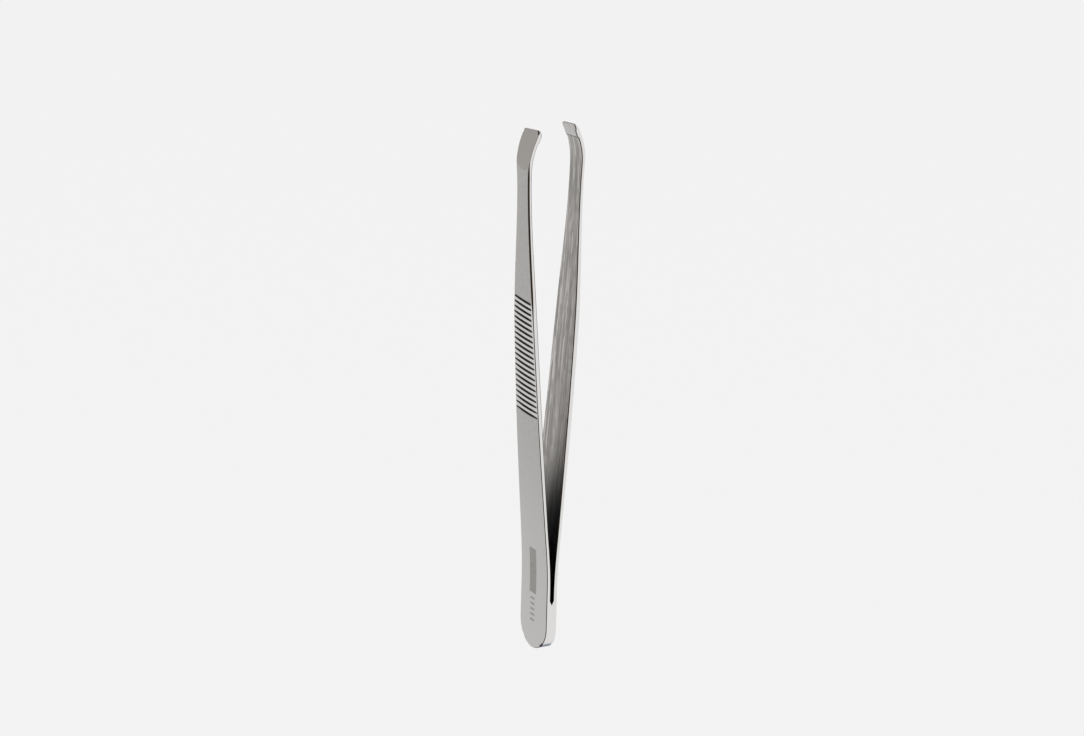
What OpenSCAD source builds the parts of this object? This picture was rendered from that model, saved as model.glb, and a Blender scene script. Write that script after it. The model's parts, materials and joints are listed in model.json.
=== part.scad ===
// Slant tweezers: two sprung steel arms, welded either side of a spacer plate at the butt.
// The frame's origin is the middle of the rounded butt end. +Z runs up to the tips, the arms
// open along X, and the longer corner of the slanted tips is on the -Y side.
// Each arm is one springy strip. It is divided at pivot_z into a heel, which stays with the
// butt, and a blade, which turns about a round knuckle as the flexing strip does.

/* [Butt] */
// Width of the butt
butt_w = 8.85; // [8.7:0.05:9.6]
// Thickness of the spacer plate, which is the width of the slot above it
spacer_t = 0.8; // [0.6:0.05:1]
// Height of the lowest point of the V notch in the spacer's top
notch_z = 8.9; // [7.5:0.1:10]
// Depth of the V notch
notch_depth = 0.8; // [0.4:0.1:1.2]

/* [Arms] */
// Length from the butt end to the longer corner of the tips
length = 95; // [92:0.5:98]
// Height at which the butt starts to narrow
shoulder_z = 14; // [12:0.5:16]
// Width of the shank just above the shoulder
shank_w = 8.5; // [8:0.1:8.8]
// Width at the lowest groove of the grip
grip_w = 7.5; // [7:0.1:7.9]
// Width a few millimetres under the highest groove
grip_top_w = 6.65; // [6:0.05:6.9]
// Width of the neck, the narrowest place
neck_w = 4; // [3.7:0.05:4.5]
// Width across the slanted tip
tip_w = 4.75; // [4.55:0.05:5.5]
// Thickness of an arm at the butt
butt_t = 0.8; // [0.7:0.01:0.85]
// Thickness of an arm at the grip
grip_t = 0.95; // [0.9:0.01:1.1]
// Thickness of an arm at the neck
neck_t = 0.7; // [0.65:0.01:0.8]
// Thickness of an arm at the tip
tip_t = 0.76; // [0.7:0.01:0.85]

/* [Opening] */
// Height at which the arms start to part
parting_z = 11; // [10.5:0.1:13]
// Outward lean of an arm just above the slot, in degrees
low_lean = 4.6; // [4:0.1:5]
// Outward lean of an arm half-way up
mid_lean = 3.8; // [3.4:0.1:4]
// Outward lean of an arm at the neck
neck_lean = 1.7; // [1.2:0.1:2.2]

/* [Tips] */
// Inward lean of the bent tip, in degrees
tip_lean = 22; // [18:0.5:24]
// Radius of the tip's bend, on the inner face
bend_r = 13; // [11:0.5:15]
// Slant of the tip across its width, in degrees
slant = 11.3; // [8:0.1:14]
// Radius of the longer tip corner
long_corner_r = 1; // [0.6:0.1:1.2]
// Radius of the shorter tip corner
short_corner_r = 0.15; // [0.1:0.05:0.5]
// Height of the gripping pad, from the slanted end down to its step
pad_h = 2.4; // [1.8:0.1:2.6]
// How far the gripping pad stands proud of the inner face
pad_step = 0.14; // [0.08:0.01:0.16]

/* [Grip] */
// Number of grooves across each arm
groove_count = 22; // [10:1:22]
// Height of the lowest groove
groove_z = 43.2; // [42:0.1:44]
// Distance from one groove to the next
groove_pitch = 0.98; // [0.9:0.01:1.0]
// Radius of a groove
groove_r = 0.26; // [0.22:0.01:0.3]
// Depth of a groove
groove_depth = 0.17; // [0.1:0.01:0.2]
// Plain margin from a groove's end to the arm's side
groove_margin = 0.45; // [0.4:0.05:0.8]

/* [Spring] */
// Height of the pivot that stands for the arm's flexing
pivot_z = 15; // [14:0.5:17]
// Angle that each arm closes through until the tips meet, in degrees
closing_angle = 2.4; // [2.3:0.01:2.45]
// Radius of the blade's round knuckle
knuckle_r = 0.5; // [0.46:0.01:0.55]
// Running clearance round the knuckle
knuckle_gap = 0.03; // [0.02:0.01:0.05]

/* [Hidden] */

$fn = 48;

steel = [0.72, 0.71, 0.7];
steel_spacer = [0.6, 0.6, 0.6];

// Room given to a cutting block past the surface that it cuts
over = 5;
// Width, across X, of the prism that gives a piece its front outline
outline_depth = 20;
// How far the strip is drawn past the tip, before the slanted end is cut
tip_allowance = 1;
// Radius of the easy bend where the arms part, and the height where it ends
parting_r = 100;
low_end_z = parting_z + parting_r * sin(low_lean);
// Heights where the width and the thickness are set
shank_z = shoulder_z + 9;
grip_z = groove_z + 1.8;
grip_top_z = groove_z + 16.8;
neck_z = length - 11;
bend_z = length - 7.7;
mid_z = (low_end_z + bend_z) / 2;

width_at = [
    [0, butt_w],
    [shoulder_z, butt_w],
    [shank_z, shank_w],
    [grip_z, grip_w],
    [grip_top_z, grip_top_w],
    [neck_z, neck_w],
    [length, tip_w]
];
thickness_at = [
    [0, butt_t],
    [shoulder_z, butt_t],
    [grip_z, grip_t],
    [grip_top_z, grip_t],
    [neck_z, neck_t],
    [length, tip_t]
];

// ---- A smooth curve through a list of [height, value] stations, with no overshoot ----
function chord(list, i) = (list[i + 1][1] - list[i][1]) / (list[i + 1][0] - list[i][0]);
function tangent(list, i) =
    i == 0 || i == len(list) - 1 ? 0 :
    let (below = chord(list, i - 1), above = chord(list, i))
    below * above <= 0 ? 0 : 2 * below * above / (below + above);
function span_of(list, z, i = 0) =
    i >= len(list) - 2 || z < list[i + 1][0] ? i : span_of(list, z, i + 1);
function smooth(list, z) =
    let (
        i = span_of(list, z),
        step = list[i + 1][0] - list[i][0],
        t = min(1, max(0, (z - list[i][0]) / step)),
        t2 = t * t,
        t3 = t2 * t
    )
    (2 * t3 - 3 * t2 + 1) * list[i][1] + (t3 - 2 * t2 + t) * step * tangent(list, i)
    + (3 * t2 - 2 * t3) * list[i + 1][1] + (t3 - t2) * step * tangent(list, i + 1);

// ---- The inner face, seen from the side: arcs whose lean goes from one value to the next ----
// Points [x, z, lean] along an arc that starts at a given [x, z, lean]
function arc(start, end_lean, radius, steps) = [
    for (i = [1 : steps])
        let (
            lean = start[2] + (end_lean - start[2]) * i / steps,
            turn = end_lean > start[2] ? 1 : -1
        )
        [
            start[0] + turn * radius * (cos(start[2]) - cos(lean)),
            start[1] + turn * radius * (sin(lean) - sin(start[2])),
            lean
        ]
];
// Radius of an arc that rises from one height to another while the lean changes
function radius_for(z_from, z_to, lean_from, lean_to) =
    abs((z_to - z_from) / (sin(lean_to) - sin(lean_from)));
function last(list) = list[len(list) - 1];

foot = [spacer_t / 2, 0, 0];
parting = [spacer_t / 2, parting_z, 0];
low_arc = arc(parting, low_lean, parting_r, 6);
shank_arc = arc(last(low_arc), mid_lean, radius_for(low_end_z, mid_z, low_lean, mid_lean), 6);
upper_arc = arc(last(shank_arc), neck_lean, radius_for(mid_z, bend_z, mid_lean, neck_lean), 8);
bend_arc = arc(last(upper_arc), -tip_lean, bend_r, 10);
bend_end = last(bend_arc);
strip_end_z = length + tip_allowance;
tip_end = [bend_end[0] - (strip_end_z - bend_end[1]) * tan(tip_lean), strip_end_z, -tip_lean];
inner_path = concat([foot, parting], low_arc, shank_arc, upper_arc, bend_arc, [tip_end]);

// The inner path moved along its own normal, outwards where the distance is positive
function moved(point, distance) =
    [point[0] + distance * cos(point[2]), point[1] - distance * sin(point[2])];
outer_line = [for (p = inner_path) moved(p, smooth(thickness_at, p[1]))];
outer_by_height = [for (p = outer_line) [p[1], p[0]]];
inner_by_height = [for (p = inner_path) [p[1], p[0]]];
function outer_x(z) = lookup(z, outer_by_height);
function inner_x(z) = lookup(z, inner_by_height);

// The pivot lies in the middle of the strip's thickness
pivot_x = (inner_x(pivot_z) + outer_x(pivot_z)) / 2;

// ---- The front outline: a round butt, smooth sides and a slanted tip with round corners ----
function tip_z(y) = length - (y + tip_w / 2) * tan(slant);
// Points of the round corner between an arm's side and its slanted end; side is -1 or 1
function corner(side, radius) =
    let (
        end_angle = 90 - slant,
        side_angle = side < 0 ? 180 : 0,
        centre_y = side * (tip_w / 2 - radius),
        centre_z = tip_z(centre_y) - radius / cos(slant),
        from = side < 0 ? side_angle : end_angle,
        to = side < 0 ? end_angle : side_angle
    )
    [
        for (i = [0 : corner_steps])
            let (angle = from + (to - from) * i / corner_steps)
            [centre_y + radius * cos(angle), centre_z + radius * sin(angle)]
    ];
butt_steps = 24;
side_steps = 36;
corner_steps = 6;
// Straight length left between the top of the smooth sides and the tip's round corners
side_gap = 0.5;
butt_r = butt_w / 2;
side_top_z = length - tip_w * tan(slant) - long_corner_r - side_gap;
butt_curve = [
    for (i = [0 : butt_steps])
        let (angle = 180 + 180 * i / butt_steps)
        [butt_r * cos(angle), butt_r + butt_r * sin(angle)]
];
// The sides are straight from the round butt up to the shoulder, and curve above it
side_heights = [for (i = [0 : side_steps]) shoulder_z + (side_top_z - shoulder_z) * i / side_steps];
far_side = [for (z = side_heights) [smooth(width_at, z) / 2, z]];
near_side = [for (i = [side_steps : -1 : 0]) [-far_side[i][0], side_heights[i]]];
far_corner = corner(1, short_corner_r);
near_corner = corner(-1, long_corner_r);
front_points = concat(
    butt_curve,
    far_side,
    [for (i = [corner_steps : -1 : 0]) far_corner[i]],
    [for (i = [corner_steps : -1 : 0]) near_corner[i]],
    near_side
);

module front_outline() {
    rotate([90, 0, 90]) linear_extrude(height = outline_depth, center = true) polygon(front_points);
}

module side_prism(points) {
    rotate([90, 0, 0]) linear_extrude(height = butt_w + over, center = true) polygon(points);
}

// Space above (or below, with a negative height) a level, everywhere across the part
module level_block(z, height) {
    translate([-2 * over, -2 * over, min(z, z + height)]) cube([4 * over, 4 * over, abs(height)]);
}

module about_pivot(angle) {
    translate([pivot_x, 0, pivot_z]) rotate([0, angle, 0]) translate([-pivot_x, 0, -pivot_z]) children();
}

module knuckle(radius) {
    translate([pivot_x, 0, pivot_z]) rotate([90, 0, 0]) cylinder(r = radius, h = butt_w + over, center = true);
}

module strip() {
    side_prism(concat(
        [for (p = inner_path) [p[0], p[1]]],
        [for (i = [len(outer_line) - 1 : -1 : 0]) outer_line[i]]
    ));
}

// The gripping pad: a skin on the inner face of the bent tip, above a slanted step
module pad() {
    pad_path = concat([last(upper_arc)], bend_arc, [tip_end]);
    intersection() {
        side_prism(concat(
            [for (p = pad_path) moved(p, -pad_step)],
            [for (i = [len(pad_path) - 1 : -1 : 0]) moved(pad_path[i], neck_t / 2)]
        ));
        translate([0, -tip_w / 2, length - pad_h]) rotate([-slant, 0, 0])
            translate([0, -over, 0]) cube([2 * over, 4 * over, 2 * over]);
    }
}

// Everything past the middle plane when the arm is closed: the two lands are ground flat there
module closed_plane_block() {
    about_pivot(closing_angle) translate([-4 * over, -2 * over, pivot_z + over])
        cube([4 * over, 4 * over, length]);
}

module grooves() {
    for (i = [0 : groove_count - 1]) {
        z = groove_z + i * groove_pitch;
        translate([outer_x(z) + groove_r - groove_depth, 0, z]) rotate([90, 0, 0])
            cylinder(r = groove_r, h = smooth(width_at, z) - 2 * groove_margin, center = true);
    }
}

// The right arm's two solids; the left arm's are their mirror images
module heel() {
    difference() {
        intersection() {
            strip();
            front_outline();
            level_block(pivot_z, -pivot_z - 1);
        }
        knuckle(knuckle_r + knuckle_gap);
    }
}

module blade() {
    difference() {
        intersection() {
            union() {
                strip();
                pad();
            }
            front_outline();
            union() {
                level_block(pivot_z, length);
                knuckle(knuckle_r);
            }
        }
        closed_plane_block();
        grooves();
    }
}

module spacer() {
    half_t = spacer_t / 2;
    color(steel_spacer) intersection() {
        side_prism([
            [-half_t, -1],
            [half_t, -1],
            [half_t, notch_z + notch_depth],
            [0, notch_z],
            [-half_t, notch_z + notch_depth]
        ]);
        front_outline();
    }
}

module right_arm_heel() {
    color(steel) heel();
}

module right_arm_blade() {
    color(steel) blade();
}

module left_arm_heel() {
    color(steel) mirror([1, 0, 0]) heel();
}

module left_arm_blade() {
    color(steel) mirror([1, 0, 0]) blade();
}

spacer();
left_arm_heel();
left_arm_blade();
right_arm_heel();
right_arm_blade();
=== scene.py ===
"""Slant tweezers: two crowned steel strips on a notched spacer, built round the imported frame."""
import json
import math

import bpy
import numpy as np
from mathutils import Matrix, Vector


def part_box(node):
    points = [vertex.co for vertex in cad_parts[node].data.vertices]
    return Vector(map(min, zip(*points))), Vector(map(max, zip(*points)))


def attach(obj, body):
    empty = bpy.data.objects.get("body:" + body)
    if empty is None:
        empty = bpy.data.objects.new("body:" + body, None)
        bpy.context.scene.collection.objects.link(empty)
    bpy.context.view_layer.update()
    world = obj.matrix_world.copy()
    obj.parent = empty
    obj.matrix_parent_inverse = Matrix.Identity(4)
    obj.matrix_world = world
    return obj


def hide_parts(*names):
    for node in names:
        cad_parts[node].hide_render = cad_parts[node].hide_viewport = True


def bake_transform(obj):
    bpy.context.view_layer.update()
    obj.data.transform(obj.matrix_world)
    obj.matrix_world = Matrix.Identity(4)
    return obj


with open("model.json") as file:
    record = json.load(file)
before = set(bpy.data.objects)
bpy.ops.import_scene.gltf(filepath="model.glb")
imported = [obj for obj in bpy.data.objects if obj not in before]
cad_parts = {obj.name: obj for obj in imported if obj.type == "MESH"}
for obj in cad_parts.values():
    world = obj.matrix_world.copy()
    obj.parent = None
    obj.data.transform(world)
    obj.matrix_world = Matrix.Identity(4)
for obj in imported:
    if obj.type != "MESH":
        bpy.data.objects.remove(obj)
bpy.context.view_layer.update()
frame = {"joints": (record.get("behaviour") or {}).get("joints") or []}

# ---- Sizes: millimetres here, metres in every mesh -------------------------------------------
MM = 0.001


def node_box(node):
    """A CAD node's lowest and highest corner, in millimetres."""
    low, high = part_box(node)
    return low / MM, high / MM


spacer_low, spacer_high = node_box("spacer")
flex_joint = next(joint for joint in frame["joints"] if joint["name"] == "right_arm_flex")

BUTT_W = spacer_high.y - spacer_low.y
BUTT_R = BUTT_W / 2
SPACER_HALF = spacer_high.x
NOTCH_TOP_Z = spacer_high.z
NOTCH_DEPTH = 0.8

LENGTH = 95.0
SHOULDER_Z = 14.0
SHANK_Z = SHOULDER_Z + 9
GROOVE_Z = 43.2
GROOVE_PITCH = 0.98
GROOVE_COUNT = 22
GROOVE_R = 0.26
GROOVE_DEPTH = 0.19
LAST_GROOVE_Z = GROOVE_Z + (GROOVE_COUNT - 1) * GROOVE_PITCH
GROOVE_NEAR_MARGIN = (0.2, 0.5)
GROOVE_FAR_MARGIN = 0.0
GROOVE_END = 0.12
GRIP_Z = GROOVE_Z + 1.8
GRIP_TOP_Z = GROOVE_Z + 16.8
NECK_Z = LENGTH - 11
BEND_Z = LENGTH - 7.7
TIP_W = 4.75

WIDTH_AT = [
    (0, BUTT_W),
    (SHOULDER_Z, BUTT_W),
    (SHANK_Z, 8.5),
    (GRIP_Z, 7.5),
    (GRIP_TOP_Z, 6.65),
    (NECK_Z, 4.0),
    (LENGTH, TIP_W),
]
# Thickness in the middle of the crowned outer face
THICKNESS_AT = [
    (0, 0.8),
    (SHOULDER_Z, 0.8),
    (GRIP_Z, 0.95),
    (GRIP_TOP_Z, 0.95),
    (NECK_Z, 0.7),
    (LENGTH, 0.76),
]
CROWN_R = 46.0

PARTING_Z = 11.0
PARTING_R = 100.0
LOW_LEAN = math.radians(4.6)
MID_LEAN = math.radians(3.8)
NECK_LEAN = math.radians(1.7)
TIP_LEAN = math.radians(22)
BEND_R = 13.0

SLANT = math.tan(math.radians(11.3))
LONG_CORNER_R = 1.0
SHORT_CORNER_R = 0.15
PAD_H = 2.4
PAD_STEP = 0.14
PAD_CREASE = 0.12
# The very end of the pad is ground off, this high and this steeply
APEX_H = 0.16
APEX_LEAN = 1.3
THINNEST = 0.06
CLOSING = math.radians(2.4)
PIVOT = (flex_joint["pos_m"][0] / MM, flex_joint["pos_m"][2] / MM)

# The flat ground on the outside of each tip
FACET_H = 7.5
FACET_CUT = 0.12
FACET_EASE = 1.8
FAR_OFF = 1000.0

# Bevel widths: the outer corner, the same at the facet, the same where it is broken most, the inner corner
OUTER_BEVEL = 0.09
FACET_BEVEL = 0.03
BROKEN_BEVEL = 0.25
INNER_BEVEL = 0.14
FINEST_BEVEL = 0.004
# The most of the strip's thickness that each bevel may take, and how far up the inner one reaches its width
OUTER_ROOM_SHARE = 0.42
INNER_ROOM_SHARE = 0.3
INNER_BEVEL_RISE = 14
# Where a row's thickness is measured, this far in from its sides
PROBE_INSET = 0.02

# Masks: the depth at which a cut shows fully, the painted shade deep in the slot, the change of tone
# towards the butt (lighter outside, painted shade darker inside), and a darker band along the inner face
FACET_SHOWS = 0.012
GROOVE_SHOWS = 0.06
DEEP_TOP_Z = 37.0
DEEP_END_Z = 21.0
PALE_TOP_Z = 50.0
BAND_AT = 0.32
BAND_HALF = 0.09

# The etched mark: a bar, and dashes below it, a skin that stands just proud of the steel
MARK_Y = 0.1
MARK_W = 2.2
MARK_Z = 9.9
MARK_TOP_Z = 18.1
DASH_COUNT = 5
DASH_Z = 4.8
DASH_PITCH = 0.98
DASH_W = 1.35
DASH_H = 0.36
MARK_RISE = 0.006
MARK_SUNK = 0.03
MARK_COLUMNS = 9
MARK_STEP = 0.35


# ---- The strip's side view: inner face, thickness, crown, grooves, ground facets ---------------
def smooth(stations, z):
    """A smooth curve through (height, value) stations, with no overshoot, at the heights z."""
    at = np.array([s[0] for s in stations], float)
    value = np.array([s[1] for s in stations], float)
    chord = np.diff(value) / np.diff(at)
    tangent = np.zeros(len(at))
    for i in range(1, len(at) - 1):
        if chord[i - 1] * chord[i] > 0:
            tangent[i] = 2 * chord[i - 1] * chord[i] / (chord[i - 1] + chord[i])
    i = np.clip(np.searchsorted(at, z, side="right") - 1, 0, len(at) - 2)
    step = at[i + 1] - at[i]
    t = np.clip((z - at[i]) / step, 0, 1)
    return (
        (2 * t**3 - 3 * t**2 + 1) * value[i]
        + (t**3 - 2 * t**2 + t) * step * tangent[i]
        + (3 * t**2 - 2 * t**3) * value[i + 1]
        + (t**3 - t**2) * step * tangent[i + 1]
    )


def ease(t):
    """0 below 0, 1 above 1, and smooth between."""
    t = np.clip(t, 0, 1)
    return t * t * (3 - 2 * t)


def inner_path():
    """Heights, positions and leans along the inner face: arcs that follow one another."""
    low_end_z = PARTING_Z + PARTING_R * math.sin(LOW_LEAN)
    mid_z = (low_end_z + BEND_Z) / 2
    points = [(0.0, SPACER_HALF, 0.0), (PARTING_Z, SPACER_HALF, 0.0)]

    def arc_to(end_lean, radius, steps):
        z0, x0, lean0 = points[-1]
        turn = 1 if end_lean > lean0 else -1
        for i in range(1, steps + 1):
            lean = lean0 + (end_lean - lean0) * i / steps
            x = x0 + turn * radius * (math.cos(lean0) - math.cos(lean))
            z = z0 + turn * radius * (math.sin(lean) - math.sin(lean0))
            points.append((z, x, lean))

    def rising(z_from, z_to, lean_from, lean_to):
        return abs((z_to - z_from) / (math.sin(lean_to) - math.sin(lean_from)))

    arc_to(LOW_LEAN, PARTING_R, 24)
    arc_to(MID_LEAN, rising(low_end_z, mid_z, LOW_LEAN, MID_LEAN), 24)
    arc_to(NECK_LEAN, rising(mid_z, BEND_Z, MID_LEAN, NECK_LEAN), 24)
    arc_to(-TIP_LEAN, BEND_R, 40)
    z, x, lean = points[-1]
    rise = LENGTH + 1 - z
    points.append((LENGTH + 1, x - rise * math.tan(TIP_LEAN), lean))
    return np.array(points).T


PATH_Z, PATH_X, PATH_LEAN = inner_path()


def path_x(z):
    return np.interp(z, PATH_Z, PATH_X)


def path_lean(z):
    return np.interp(z, PATH_Z, PATH_LEAN)


def below_tip(y, z):
    """Distance down the strip from the slanted end."""
    return LENGTH - (y + TIP_W / 2) * SLANT - z


def land_x(z):
    """Half gap at which the two lands, ground flat while closed, stand when the arms are open."""
    return PIVOT[0] + ((z - PIVOT[1]) * math.sin(CLOSING) - PIVOT[0]) / math.cos(CLOSING)


def crown(y):
    """How far the outer face falls away from its middle line."""
    return y**2 / (2 * CROWN_R)


def crowned_x(y, z):
    thickness = smooth(THICKNESS_AT, z) - crown(y)
    return path_x(z) + thickness / np.cos(path_lean(z))


def facet_x(y, z):
    """The flat ground on the outside of the bent tip."""
    up = np.maximum(z - LENGTH + FACET_H, 0)
    ground = crowned_x(0, z) - FACET_CUT * (1 - np.exp(-up / FACET_EASE))
    return np.where(up > 0, ground, FAR_OFF)


def groove_x(y, z):
    """The round grooves, cut straight across the crown and run out just short of the sides."""
    nearest = np.clip(np.round((z - GROOVE_Z) / GROOVE_PITCH), 0, GROOVE_COUNT - 1)
    centre = GROOVE_Z + nearest * GROOVE_PITCH
    away = np.abs(z - centre)
    axis = crowned_x(0, centre) + GROOVE_R - GROOVE_DEPTH
    inside = np.sqrt(np.clip(GROOVE_R**2 - away**2, 0, None))
    half = smooth(WIDTH_AT, z) / 2
    near_margin = np.interp(z, (GROOVE_Z, GRIP_TOP_Z), GROOVE_NEAR_MARGIN)
    near_room = half - near_margin + y
    far_room = half - GROOVE_FAR_MARGIN - y
    share = ease(np.minimum(near_room, far_room) / GROOVE_END)
    crowned = crowned_x(y, z)
    cut = np.where(away < GROOVE_R, np.maximum(crowned - axis + inside, 0), 0)
    return crowned - cut * share


def outer_x(y, z):
    return np.minimum(groove_x(y, z), facet_x(y, z))


def inner_x(y, z):
    down = below_tip(y, z)
    x = path_x(z) - PAD_STEP * ease((PAD_H + PAD_CREASE / 2 - down) / PAD_CREASE)
    x = np.maximum(x, land_x(z))
    apex = land_x(z) + (APEX_H - down) * APEX_LEAN
    x = np.where(down < APEX_H, np.maximum(x, apex), x)
    return np.minimum(x, outer_x(y, z) - THINNEST)


# ---- The strip's front view: rows of points between two sides ----------------------------------
BUTT_START = 4.0
BUTT_ROWS = 26
TIP_ROWS = 16
BUTT_GAP = 0.5
SHANK_STEP = 0.7
NECK_STEP = 0.6
BEND_STEP = 0.22
PAD_ROW_STEP = 0.15
GROOVE_OFFSETS = (0, 0.06, 0.115, 0.16, 0.19, 0.215, 0.27, 0.38)
CREASE_SHARES = (-1.2, -0.6, -0.4, -0.2, 0, 0.2, 0.4, 0.6, 1.2)


def row_list():
    """Each row is (kind, value): a butt angle, a height on the sides, or a tip corner angle."""
    rows = [("butt", math.radians(a)) for a in np.linspace(BUTT_START, 90, BUTT_ROWS)]
    heights = list(np.arange(BUTT_R + BUTT_GAP, GROOVE_Z - 0.5, SHANK_STEP))
    offsets = sorted({sign * offset for offset in GROOVE_OFFSETS for sign in (-1, 1)})
    for i in range(GROOVE_COUNT):
        heights += [GROOVE_Z + i * GROOVE_PITCH + offset for offset in offsets]
    heights += list(np.arange(heights[-1] + 0.4, BEND_Z - 2, NECK_STEP))
    heights += list(np.arange(BEND_Z - 1.8, LENGTH - PAD_H - 0.5, BEND_STEP))
    crease = LENGTH - PAD_H
    heights += [crease + PAD_CREASE * share for share in CREASE_SHARES]
    heights += list(np.arange(crease + 0.3, LENGTH - LONG_CORNER_R - 0.05, PAD_ROW_STEP))
    rows += [("side", z) for z in heights]
    rows += [("tip", math.radians(a)) for a in np.linspace(0, 90, TIP_ROWS)]
    return rows


ROWS = row_list()

# Places of the columns from side to side, 0 to 1, closer together near the sides
COLUMNS = 33
PACKING = 0.86 * math.pi / 2
ACROSS = (np.sin(np.linspace(-PACKING, PACKING, COLUMNS)) / math.sin(PACKING) + 1) / 2


def sheared(y, h):
    """Height of a point on a row: level low down, slanted as the end is near the tip."""
    level_to = NECK_Z + 1
    slanted_from = LENGTH - PAD_H - 2
    share = ease((h - level_to) / (slanted_from - level_to))
    return h - share * (y + TIP_W / 2) * SLANT


def side_point(row, side, inset):
    """Where a row meets the outline on one side, moved in by the inset."""
    kind, value = row
    if kind == "butt":
        radius = BUTT_R - inset
        return side * radius * math.sin(value), BUTT_R - radius * math.cos(value)
    if kind == "side":
        half = float(smooth(WIDTH_AT, np.array(value))) / 2 - inset
        return side * half, float(sheared(side * half, value))
    corner_r = LONG_CORNER_R
    h = LENGTH - corner_r + corner_r * math.sin(value)
    angle = value
    if side > 0:
        corner_r = SHORT_CORNER_R
        above = h - (LENGTH - corner_r)
        angle = math.asin(min(1.0, above / corner_r)) if above > 0 else 0.0
        if above <= 0:
            half = float(smooth(WIDTH_AT, np.array(h))) / 2 - inset
            return half, float(sheared(half, h))
    y = side * (TIP_W / 2 - corner_r + (corner_r - inset) * math.cos(angle))
    h = LENGTH - corner_r + (corner_r - inset) * math.sin(angle)
    return y, float(sheared(y, h))


def row_points(row, inset):
    """The points of a row, from the -Y side to the +Y side, as two arrays; the lowest row is curved."""
    if row is ROWS[0]:
        angle = row[1] * (2 * ACROSS - 1)
        radius = BUTT_R - inset
        return radius * np.sin(angle), BUTT_R - radius * np.cos(angle)
    near = side_point(row, -1, inset)
    far = side_point(row, 1, inset)
    return near[0] + (far[0] - near[0]) * ACROSS, near[1] + (far[1] - near[1]) * ACROSS


def between(value, low, high, low_ease, high_ease):
    """1 between low and high, easing to 0 at each."""
    return float(ease((value - low) / low_ease) * ease((high - value) / high_ease))


def broken_share(row, z):
    """1 where the outer corner is broken most (neck, tip corner, foot of the butt), 0 elsewhere."""
    kind, value = row
    if kind == "side":
        return between(z, GRIP_TOP_Z, BEND_Z + 2.2, 6, 3)
    degrees = math.degrees(value)
    if kind == "butt":
        return between(degrees, 34, 54, 7, 7)
    return between(degrees, 14, 80, 15, 15)


def row_bevels(row):
    """Outer and inner bevel widths of a row: small where the tip is ground thin, none at the spacer."""
    y, z = row_points(row, PROBE_INSET)
    room = float(np.min(outer_x(y, z) - inner_x(y, z)))
    plain = OUTER_BEVEL + (FACET_BEVEL - OUTER_BEVEL) * float(ease((z.mean() - BEND_Z) / 2))
    outer = plain + (BROKEN_BEVEL - plain) * broken_share(row, z.mean())
    inner = min(INNER_BEVEL, INNER_ROOM_SHARE * room)
    inner *= float(ease((z.min() - NOTCH_TOP_Z) / INNER_BEVEL_RISE))
    return min(outer, OUTER_ROOM_SHARE * room), max(inner, FINEST_BEVEL)


def loop_of(grid):
    """The outline of a grid of points, once round: up the near side, across the tip, down, back."""
    columns = len(grid[0])
    near = [grid[i][0] for i in range(len(grid))]
    top = [grid[-1][j] for j in range(1, columns - 1)]
    far = [grid[i][-1] for i in range(len(grid) - 1, -1, -1)]
    bottom = [grid[0][j] for j in range(columns - 2, 0, -1)]
    return near + top + far + bottom


MASKS = ("edge", "corner", "groove", "facet", "inside", "land", "deep", "grip", "pale", "band")


class MeshMaker:
    """Gathers points and faces, with the masks that the materials read."""

    def __init__(self):
        self.points = []
        self.faces = []
        self.masks = {name: [] for name in MASKS}

    def add(self, x, y, z, **masks):
        self.points.append((x * MM, y * MM, z * MM))
        for name, values in self.masks.items():
            values.append(float(masks.get(name, 0.0)))
        return len(self.points) - 1

    def fill(self, grid, flip):
        """Quads over a grid of point numbers."""
        for row, above in zip(grid, grid[1:]):
            for j in range(len(row) - 1):
                quad = (row[j], row[j + 1], above[j + 1], above[j])
                self.faces.append(quad if flip else quad[::-1])

    def join(self, rings, flip):
        """Quads between rings that follow one another."""
        count = len(rings[0])
        for upper, lower in zip(rings, rings[1:]):
            for i in range(count):
                after = (i + 1) % count
                quad = (upper[i], upper[after], lower[after], lower[i])
                self.faces.append(quad if flip else quad[::-1])

    def build(self, name, sharp_degrees=32):
        mesh = bpy.data.meshes.new(name)
        mesh.from_pydata(self.points, [], self.faces)
        for mask, values in self.masks.items():
            layer = mesh.attributes.new(mask, "FLOAT", "POINT")
            layer.data.foreach_set("value", values)
        mesh.validate()
        mesh.shade_smooth()
        mesh.set_sharp_from_angle(angle=math.radians(sharp_degrees))
        piece = bpy.data.objects.new(name, mesh)
        bpy.context.scene.collection.objects.link(piece)
        return piece


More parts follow.
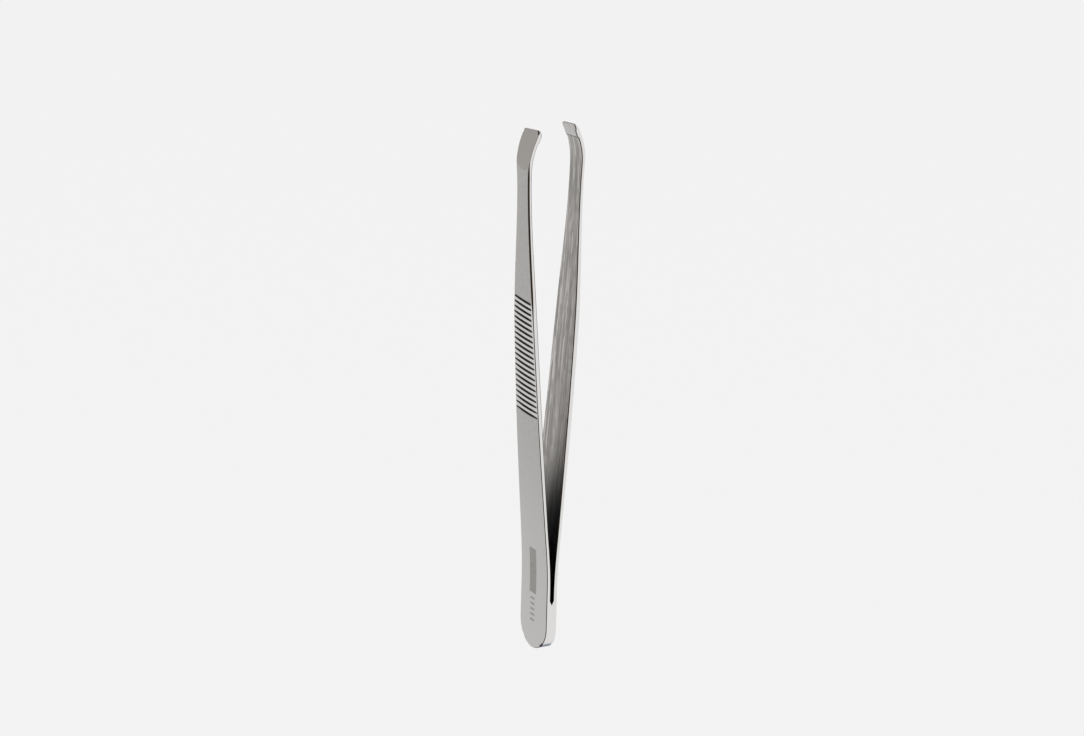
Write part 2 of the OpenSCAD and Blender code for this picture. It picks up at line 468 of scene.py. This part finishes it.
def arm_strip(name, side):
    """One whole arm: side 1 is the right arm, side -1 its mirror image on the left."""
    maker = MeshMaker()
    bevels = [row_bevels(row) for row in ROWS]

    def surface(depth_of, inset_of, is_inside):
        """The outer or the inner face, as a grid of point numbers, with the masks that a face uses."""
        grid = []
        for row, bevel in zip(ROWS, bevels):
            y, z = row_points(row, inset_of(bevel))
            x = depth_of(y, z)
            crown_line = crowned_x(y, z)
            cut = 0 * y if is_inside else crown_line - x
            # Painted shade: the grooves darkened to near black
            groove = ease(cut / GROOVE_SHOWS) * (z < NECK_Z)
            facet = ease(cut / FACET_SHOWS) * (z > NECK_Z)
            down = below_tip(y, z)
            land = is_inside * ease((PAD_H - down) / PAD_CREASE + 0.5)
            # Painted shade: a dark line at the crease under the pad, where its step is in shade
            crease = is_inside * ease(1 - np.abs(down - PAD_H) / PAD_CREASE)
            # Painted shade: the inner face darkened deep in the slot between the arms
            deep = is_inside * ease((DEEP_TOP_Z - z) / (DEEP_TOP_Z - DEEP_END_Z))
            # Painted highlight: the outer face lighter through the grip, on the ridges between the grooves
            in_grip = ease((z - GROOVE_Z) / GROOVE_R) * ease((LAST_GROOVE_Z - z) / GROOVE_R)
            grip = (1 - is_inside) * in_grip
            # 1 at the butt, easing to 0 at the top height: lighter outside, painted shade darker on the
            # inner face
            pale = ease((PALE_TOP_Z - z) / PALE_TOP_Z)
            band = is_inside * np.exp(-(((ACROSS - BAND_AT) / BAND_HALF) ** 2))
            grid.append([
                maker.add(side * x[j], y[j], z[j], groove=groove[j], facet=facet[j], inside=is_inside,
                          land=land[j], corner=crease[j], deep=deep[j], grip=grip[j], pale=pale[j],
                          band=band[j])
                for j in range(COLUMNS)
            ])
        return grid

    outer = surface(outer_x, lambda bevel: bevel[0], 0)
    inner = surface(inner_x, lambda bevel: bevel[1], 1)
    maker.fill(outer, side > 0)
    maker.fill(inner, side < 0)

    def ring(inset_of, depth_of, corner=0):
        """One turn round the edge at a given inset and depth."""
        grid = []
        for row, bevel in zip(ROWS, bevels):
            y, z = row_points(row, inset_of(bevel))
            grid.append(list(zip(y, z, [bevel] * COLUMNS)))
        indices = []
        for y, z, bevel in loop_of(grid):
            high = float(outer_x(y, z))
            low = float(inner_x(y, z))
            # Each point round the edge gets the smoother polish and the painted highlight
            indices.append(maker.add(side * depth_of(low, high, bevel), y, z, corner=corner, edge=1))
        return indices

    rings = [loop_of(outer)]
    # Outer bevel rings: on the left arm only, a painted dark line of shade along the outer corner
    for degrees in (22.5, 45, 67.5, 90):
        turn = math.radians(degrees)
        rings.append(ring(
            lambda bevel: bevel[0] * (1 - math.sin(turn)),
            lambda low, high, bevel: high - bevel[0] * (1 - math.cos(turn)),
            corner=1 if side < 0 else 0,
        ))
    for share in (0.96, 0.75, 0.5, 0.25):
        rings.append(ring(
            lambda bevel: 0.0,
            lambda low, high, bevel: (low + bevel[1]) * (1 - share) + (high - bevel[0]) * share,
        ))
    # Inner bevel rings: a painted dark line of shade along the inner corner, but not on the ring at 90
    # degrees
    for degrees in (90, 60, 30):
        turn = math.radians(degrees)
        rings.append(ring(
            lambda bevel: bevel[1] * (1 - math.sin(turn)),
            lambda low, high, bevel: low + bevel[1] * (1 - math.cos(turn)),
            corner=0 if degrees == 90 else 1,
        ))
    rings.append(loop_of(inner))
    maker.join(rings, side > 0)
    return maker.build(name)


def spacer_plate(name):
    """The plate between the arms, flush with them all round, with the V notch on top."""
    maker = MeshMaker()
    rows = [row for row in ROWS if row[0] == "butt"]
    heights = list(np.linspace(BUTT_R + BUTT_GAP, NOTCH_TOP_Z - 0.04, 10)) + [NOTCH_TOP_Z]
    rows += [("side", z) for z in heights]
    shares = np.array([-1, -0.96, -0.72, -0.48, -0.24, -0.06, 0.06, 0.24, 0.48, 0.72, 0.96, 1])
    grids = []
    for share in shares:
        grid = []
        for row in rows:
            y, z = row_points(row, 0.0)
            fall = NOTCH_DEPTH * (1 - abs(share)) * ease((z - BUTT_R) / (NOTCH_TOP_Z - BUTT_R))
            # The row in the notch gets a painted dark line of shade
            in_notch = row is rows[-1]
            # Every point of the plate gets the edges' smoother polish and painted highlight
            grid.append([
                maker.add(share * SPACER_HALF, y[j], z[j] - fall[j], edge=1, corner=in_notch)
                for j in range(COLUMNS)
            ])
        grids.append(grid)
    maker.fill(grids[0], False)
    maker.fill(grids[-1], True)
    maker.join([loop_of(grid) for grid in reversed(grids)], True)
    return maker.build(name, sharp_degrees=20)


def etched_mark(name):
    """A plain bar with a row of dashes under it, a skin on the left arm that follows its crown."""
    maker = MeshMaker()
    bars = [(MARK_Z, MARK_TOP_Z, MARK_W)]
    for i in range(DASH_COUNT):
        bottom = DASH_Z + i * DASH_PITCH
        bars.append((bottom, bottom + DASH_H, DASH_W))
    for bottom, top, width in bars:
        across = MARK_Y + np.linspace(-width / 2, width / 2, MARK_COLUMNS)
        up = np.linspace(bottom, top, max(3, int((top - bottom) / MARK_STEP)))
        grids = []
        for rise in (MARK_RISE, -MARK_SUNK):
            grids.append([
                [maker.add(-float(outer_x(y, z)) - rise, y, z) for y in across]
                for z in up
            ])
        maker.fill(grids[0], False)
        maker.fill(grids[1], True)
        maker.join([loop_of(grid) for grid in grids], False)
    return maker.build(name)


# ---- Materials ---------------------------------------------------------------------------------
def feed(tree, value, socket):
    """Gives a socket its value: a link from another socket, or a constant."""
    if hasattr(value, "is_linked"):
        tree.links.new(value, socket)
    else:
        socket.default_value = value


def mask_value(tree, name):
    node = tree.nodes.new("ShaderNodeAttribute")
    node.attribute_name = name
    return node.outputs["Fac"]


def grain(tree, scale, detail):
    """Noise on the object's own coordinates, stretched by a scale per metre on each axis."""
    place = tree.nodes.new("ShaderNodeTexCoord")
    mapping = tree.nodes.new("ShaderNodeMapping")
    mapping.inputs["Scale"].default_value = scale
    noise = tree.nodes.new("ShaderNodeTexNoise")
    noise.inputs["Scale"].default_value = 1.0
    noise.inputs["Detail"].default_value = detail
    feed(tree, place.outputs["Object"], mapping.inputs["Vector"])
    feed(tree, mapping.outputs["Vector"], noise.inputs["Vector"])
    return noise.outputs["Fac"]


def spread(tree, value, low, high):
    """The values between low and high, stretched to run from 0 to 1."""
    node = tree.nodes.new("ShaderNodeMapRange")
    node.inputs["From Min"].default_value = low
    node.inputs["From Max"].default_value = high
    feed(tree, value, node.inputs["Value"])
    return node.outputs["Result"]


def mix(tree, factor, a, b, colour=False):
    """A mix of two values or colours; a and b are sockets or constants."""
    node = tree.nodes.new("ShaderNodeMix")
    node.data_type = "RGBA" if colour else "FLOAT"
    start = 6 if colour else 2
    feed(tree, factor, node.inputs[0])
    feed(tree, a, node.inputs[start])
    feed(tree, b, node.inputs[start + 1])
    return node.outputs[2 if colour else 0]


def weaker(tree, value, share):
    """A mask or noise, scaled down."""
    node = tree.nodes.new("ShaderNodeMath")
    node.operation = "MULTIPLY"
    feed(tree, value, node.inputs[0])
    feed(tree, share, node.inputs[1])
    return node.outputs[0]


def shade(level, warmth):
    """A steel colour, as linear red, green and blue."""
    return (level * (1 + warmth), level, level * (1 - warmth), 1.0)


def steel(name):
    """Satin steel that the masks turn into polished edge with a painted highlight, ground facet or brushed
    inside, with painted shade in the grooves, the slot and the corners, and a painted highlight on the
    grip.
    """
    material = bpy.data.materials.new(name)
    material.use_nodes = True
    tree = material.node_tree
    shader = tree.nodes["Principled BSDF"]
    shader.inputs["Metallic"].default_value = 1.0

    satin = spread(tree, grain(tree, (2600, 2600, 2200), 2.0), 0.33, 0.67)
    cloud = grain(tree, (160, 160, 60), 2.0)
    brushed = spread(tree, grain(tree, (0, 1900, 90), 0.0), 0.37, 0.67)
    scratch = spread(tree, grain(tree, (0, 1600, 420), 0.0), 0.52, 0.62)
    streak = spread(tree, grain(tree, (0, 1100, 14), 2.0), 0.45, 0.65)

    def over(base, factor, level, warmth):
        """The base colour, with a steel shade over it as far as the factor says."""
        return mix(tree, factor, base, shade(level, warmth), True)

    def mask(name):
        return mask_value(tree, name)

    outside = over(shade(0.36, 0.028), satin, 0.47, 0.028)
    outside = over(outside, cloud, 0.42, 0.03)
    # Lighter towards the butt
    outside = over(outside, mask("pale"), 0.53, 0.012)
    # Painted highlight: lighter ridges between the grooves
    outside = over(outside, mask("grip"), 0.62, 0.02)
    inside = over(shade(0.25, 0.045), brushed, 0.56, 0.035)
    inside = over(inside, weaker(tree, scratch, 0.5), 0.2, 0.06)
    inside = over(inside, weaker(tree, streak, 0.35), 0.24, 0.06)
    inside = over(inside, weaker(tree, mask("band"), 0.5), 0.2, 0.06)
    # Painted shade: the inner face darker towards the butt and the slot
    inside = over(inside, mask("pale"), 0.25, 0.06)
    inside = over(inside, mask("land"), 0.49, 0.03)
    # Painted shade: near black deep in the slot between the arms
    inside = over(inside, mask("deep"), 0.025, -0.05)
    colour = mix(tree, mask("inside"), outside, inside, True)
    colour = over(colour, mask("facet"), 0.345, 0.05)
    # Painted highlight: the edges much lighter; their smoother polish is in the roughness below
    colour = over(colour, mask("edge"), 0.78, 0.015)
    # Painted shade: dark lines at the bevels, the crease under the pad and the notch
    colour = over(colour, spread(tree, mask("corner"), 0.0, 0.3), 0.022, 0.4)
    # Painted shade: near black in the grooves
    colour = over(colour, spread(tree, mask("groove"), 0.0, 0.6), 0.008, 0.0)
    feed(tree, colour, shader.inputs["Base Color"])

    rough = mix(tree, mask("inside"), 0.38, mix(tree, brushed, 0.28, 0.42))
    rough = mix(tree, mask("edge"), rough, 0.26)
    feed(tree, rough, shader.inputs["Roughness"])

    height = mix(tree, mask("inside"), satin, brushed)
    bump = tree.nodes.new("ShaderNodeBump")
    bump.inputs["Strength"].default_value = 0.12
    bump.inputs["Distance"].default_value = 0.00002
    feed(tree, height, bump.inputs["Height"])
    feed(tree, bump.outputs["Normal"], shader.inputs["Normal"])
    return material


def etched_steel(name):
    """The dull, darker grain of an etched mark."""
    material = bpy.data.materials.new(name)
    material.use_nodes = True
    tree = material.node_tree
    shader = tree.nodes["Principled BSDF"]
    shader.inputs["Metallic"].default_value = 1.0
    shader.inputs["Roughness"].default_value = 0.5
    speckle = spread(tree, grain(tree, (4200, 4200, 3000), 2.0), 0.3, 0.7)
    colour = mix(tree, speckle, shade(0.27, 0.04), shade(0.37, 0.04), True)
    feed(tree, colour, shader.inputs["Base Color"])
    return material


def floor_material():
    material = bpy.data.materials.new("pale_floor")
    material.use_nodes = True
    shader = material.node_tree.nodes["Principled BSDF"]
    shader.inputs["Base Color"].default_value = (0.977, 0.977, 0.977, 1)
    shader.inputs["Roughness"].default_value = 0.9
    shader.inputs["Specular IOR Level"].default_value = 0
    return material


# ---- Camera: long lens, 30 degrees to the left of the arms' edges, 21 degrees above -------------
def make_camera():
    distance = 4.0
    frame_width = 0.18522
    sensor_width = 36
    aim_right, aim_up = 0.75, 47.42
    turn, lift, roll = math.radians(30.1), math.radians(20.63), math.radians(1.59)
    back = Vector((-math.sin(turn) * math.cos(lift), -math.cos(turn) * math.cos(lift), math.sin(lift)))
    level = Vector((math.cos(turn), -math.sin(turn), 0))
    upright = back.cross(level)
    right = level * math.cos(roll) + upright * math.sin(roll)
    up = upright * math.cos(roll) - level * math.sin(roll)
    aim = (right * aim_right + up * aim_up) * MM
    data = bpy.data.cameras.new("camera")
    data.sensor_width = sensor_width
    data.lens = sensor_width * distance / frame_width
    data.clip_start = 0.05
    data.clip_end = 50
    camera = bpy.data.objects.new("camera", data)
    turned = Matrix((right, up, back)).transposed().to_4x4()
    camera.matrix_world = Matrix.Translation(aim + back * distance) @ turned
    bpy.context.scene.collection.objects.link(camera)
    bpy.context.scene.camera = camera


def area_light(name, place, aim, size, power):
    data = bpy.data.lights.new(name, "AREA")
    data.shape = "RECTANGLE"
    data.size, data.size_y = size
    data.energy = power
    light = bpy.data.objects.new(name, data)
    light.location = place
    light.rotation_mode = "QUATERNION"
    light.rotation_quaternion = (Vector(place) - Vector(aim)).to_track_quat("Z", "Y")
    light.visible_glossy = False
    bpy.context.scene.collection.objects.link(light)


def card(name, place, size, colour):
    """A card just above the floor that only reflections see, as set up near polished steel."""
    bpy.ops.mesh.primitive_grid_add(x_subdivisions=2, y_subdivisions=2, size=1, location=place)
    sheet = bpy.context.object
    sheet.name = name
    sheet.scale = (size[0], size[1], 1)
    for ray in ("camera", "diffuse", "shadow", "transmission", "volume_scatter"):
        setattr(sheet, "visible_" + ray, False)
    paper = bpy.data.materials.new(name)
    paper.use_nodes = True
    shader = paper.node_tree.nodes["Principled BSDF"]
    shader.inputs["Base Color"].default_value = colour
    shader.inputs["Specular IOR Level"].default_value = 0
    sheet.data.materials.append(paper)


def make_studio():
    """A pale world, a pale floor of the same brightness, two soft lights and a bluish card."""
    floor_z = -0.25
    middle = (0, 0, 0.05)
    world = bpy.data.worlds.new("studio")
    world.use_nodes = True
    background = world.node_tree.nodes["Background"]
    background.inputs["Color"].default_value = (0.888, 0.888, 0.888, 1)
    background.inputs["Strength"].default_value = 1.0
    bpy.context.scene.world = world
    bpy.context.scene.view_settings.view_transform = "Standard"
    bpy.ops.mesh.primitive_grid_add(x_subdivisions=4, y_subdivisions=4, size=24, location=(0, 0, floor_z))
    floor = bpy.context.object
    floor.name = "floor"
    floor.data.materials.append(floor_material())
    area_light("key", (0.7, -1.6, 2.2), middle, (1.2, 1.2), 2.2)
    area_light("left", (-2.0, 0.6, 1.4), middle, (1.0, 1.4), 1.5)
    card("card_behind", (0.22, 0.36, floor_z + 0.005), (0.26, 0.56), (0.2, 0.24, 0.31, 1))


def use(piece, material):
    piece.data.materials.append(material)


# ---- The pieces ---------------------------------------------------------------------------------
make_camera()
make_studio()

arm_steel = steel("satin_steel")
for side, label in ((-1, "left"), (1, "right")):
    strip = arm_strip(label + "_arm_strip", side)
    use(strip, arm_steel)
    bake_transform(strip)
    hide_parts(label + "_arm_heel", label + "_arm_blade")

plate = spacer_plate("spacer_plate")
use(plate, arm_steel)
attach(plate, "butt")
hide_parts("spacer")

mark = etched_mark("etched_mark")
use(mark, etched_steel("etched_steel"))
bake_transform(mark)
